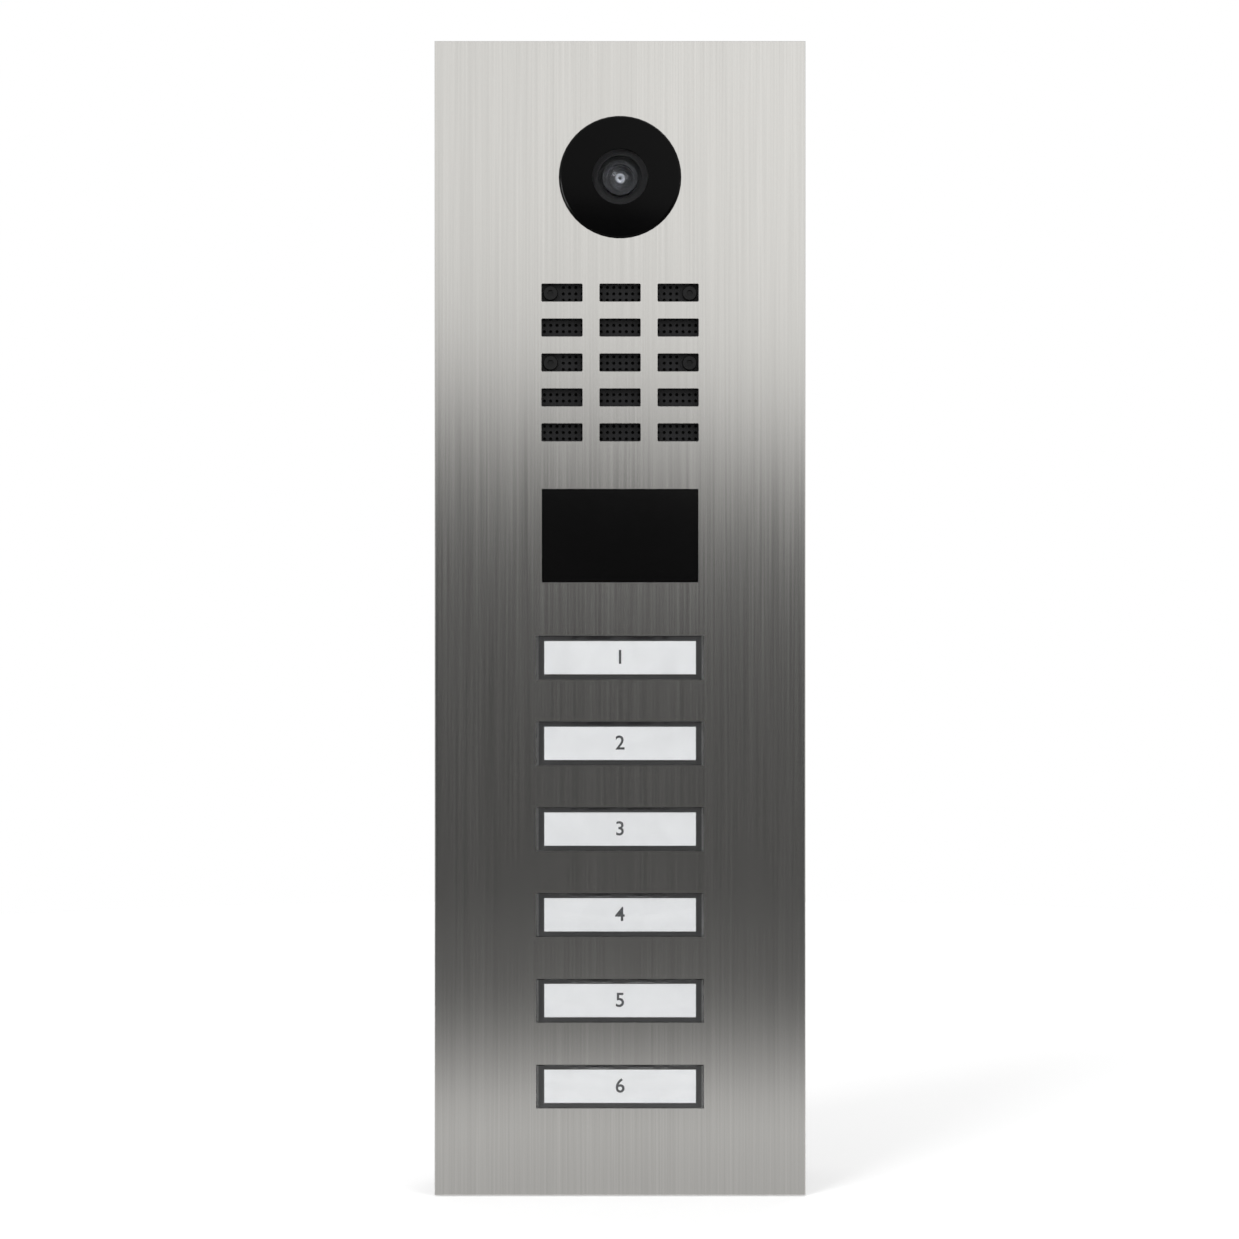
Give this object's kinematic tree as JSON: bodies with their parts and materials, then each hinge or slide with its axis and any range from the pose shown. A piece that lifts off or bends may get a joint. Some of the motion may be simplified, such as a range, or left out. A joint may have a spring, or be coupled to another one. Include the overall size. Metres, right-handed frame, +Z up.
{
  "type": "door intercom panel",
  "caption": "Flush-mounted video door station: tall brushed steel faceplate with a domed camera cover, slotted speaker grille, dark reader window and a column of lit name-card call buttons.",
  "frame": {"origin": "Centre of the back box's rear face, in the middle of the four wall fixing holes.", "axes": "+Z up, +X to the right as a visitor sees the panel, the front faces -Y and +Y goes into the wall."},
  "size_m": [0.135, 0.0564, 0.42],
  "materials": {
    "box_plastic": "moulded, fine grain",
    "black_rubber": "matt",
    "brushed_steel": "vertical brushing",
    "zinc_steel": "zinc plated",
    "black_plastic": "moulded",
    "spring_steel": "bright",
    "gloss_black": "polished",
    "clear_glass": "polished",
    "black_metal": "anodised black",
    "lens_glass": "coated",
    "sensor_glass": "coated",
    "circuit_board": "solder mask",
    "dark_lens": "dark clear resin",
    "black_cloth": "fine weave",
    "grey_steel": "pressed and painted",
    "paper_cone": "coated paper",
    "ferrite": "sintered",
    "black_steel": "black oxide",
    "white_plastic": "moulded",
    "led_white": "moulded",
    "chip_black": "moulded",
    "green_plastic": "moulded",
    "clear_plastic": "polished clear polycarbonate",
    "white_card": "printed card",
    "smoked_plastic": "smoked",
    "grey_silicone": "matt"
  },
  "bodies": {
    "station": {"back_box": "box_plastic", "cable_grommets": "black_rubber", "plate_gasket": "black_rubber", "face_plate": "brushed_steel", "plate_nuts": "zinc_steel", "chassis": "black_plastic", "spring_clips": "spring_steel", "camera_cover": "gloss_black", "camera_window": "clear_glass", "camera_bezel": "black_plastic", "lens_barrel": "black_metal", "front_lens": "lens_glass", "lens_holder": "black_plastic", "image_sensor": "sensor_glass", "camera_board": "circuit_board", "infrared_board": "circuit_board", "infrared_leds": "dark_lens", "speaker_baffle": "black_plastic", "acoustic_cloth": "black_cloth", "speaker_frame": "grey_steel", "speaker_cone": "paper_cone", "speaker_magnet": "ferrite", "speaker_screws": "black_steel", "microphone": "black_rubber", "window_pane": "gloss_black", "reader_board": "circuit_board", "front_seals": "black_rubber", "guide_plate": "white_plastic", "button_board": "circuit_board", "button_leds": "led_white", "main_board": "circuit_board", "board_parts": "chip_black", "terminal_blocks": "green_plastic", "network_jack": "zinc_steel", "rear_cover": "black_plastic", "assembly_screws": "zinc_steel", "button_1_dome": "grey_silicone", "button_2_dome": "grey_silicone", "button_3_dome": "grey_silicone", "button_4_dome": "grey_silicone", "button_5_dome": "grey_silicone", "button_6_dome": "grey_silicone"},
    "button_1": {"button_1_cap": "clear_plastic", "button_1_card": "white_card", "button_1_light_guide": "smoked_plastic"},
    "button_2": {"button_2_cap": "clear_plastic", "button_2_card": "white_card", "button_2_light_guide": "smoked_plastic"},
    "button_3": {"button_3_cap": "clear_plastic", "button_3_card": "white_card", "button_3_light_guide": "smoked_plastic"},
    "button_4": {"button_4_cap": "clear_plastic", "button_4_card": "white_card", "button_4_light_guide": "smoked_plastic"},
    "button_5": {"button_5_cap": "clear_plastic", "button_5_card": "white_card", "button_5_light_guide": "smoked_plastic"},
    "button_6": {"button_6_cap": "clear_plastic", "button_6_card": "white_card", "button_6_light_guide": "smoked_plastic"}
  },
  "joints": [
    {"name": "button_1_press", "type": "slide", "parent": "station", "child": "button_1", "axis": [0, 1, 0], "range_m": [0, 0.001], "stiffness_N_per_m": 400, "springref_m": -0.002, "deforming": ["button_1_dome"]},
    {"name": "button_2_press", "type": "slide", "parent": "station", "child": "button_2", "axis": [0, 1, 0], "range_m": [0, 0.001], "stiffness_N_per_m": 400, "springref_m": -0.002, "deforming": ["button_2_dome"]},
    {"name": "button_3_press", "type": "slide", "parent": "station", "child": "button_3", "axis": [0, 1, 0], "range_m": [0, 0.001], "stiffness_N_per_m": 400, "springref_m": -0.002, "deforming": ["button_3_dome"]},
    {"name": "button_4_press", "type": "slide", "parent": "station", "child": "button_4", "axis": [0, 1, 0], "range_m": [0, 0.001], "stiffness_N_per_m": 400, "springref_m": -0.002, "deforming": ["button_4_dome"]},
    {"name": "button_5_press", "type": "slide", "parent": "station", "child": "button_5", "axis": [0, 1, 0], "range_m": [0, 0.001], "stiffness_N_per_m": 400, "springref_m": -0.002, "deforming": ["button_5_dome"]},
    {"name": "button_6_press", "type": "slide", "parent": "station", "child": "button_6", "axis": [0, 1, 0], "range_m": [0, 0.001], "stiffness_N_per_m": 400, "springref_m": -0.002, "deforming": ["button_6_dome"]}
  ]
}
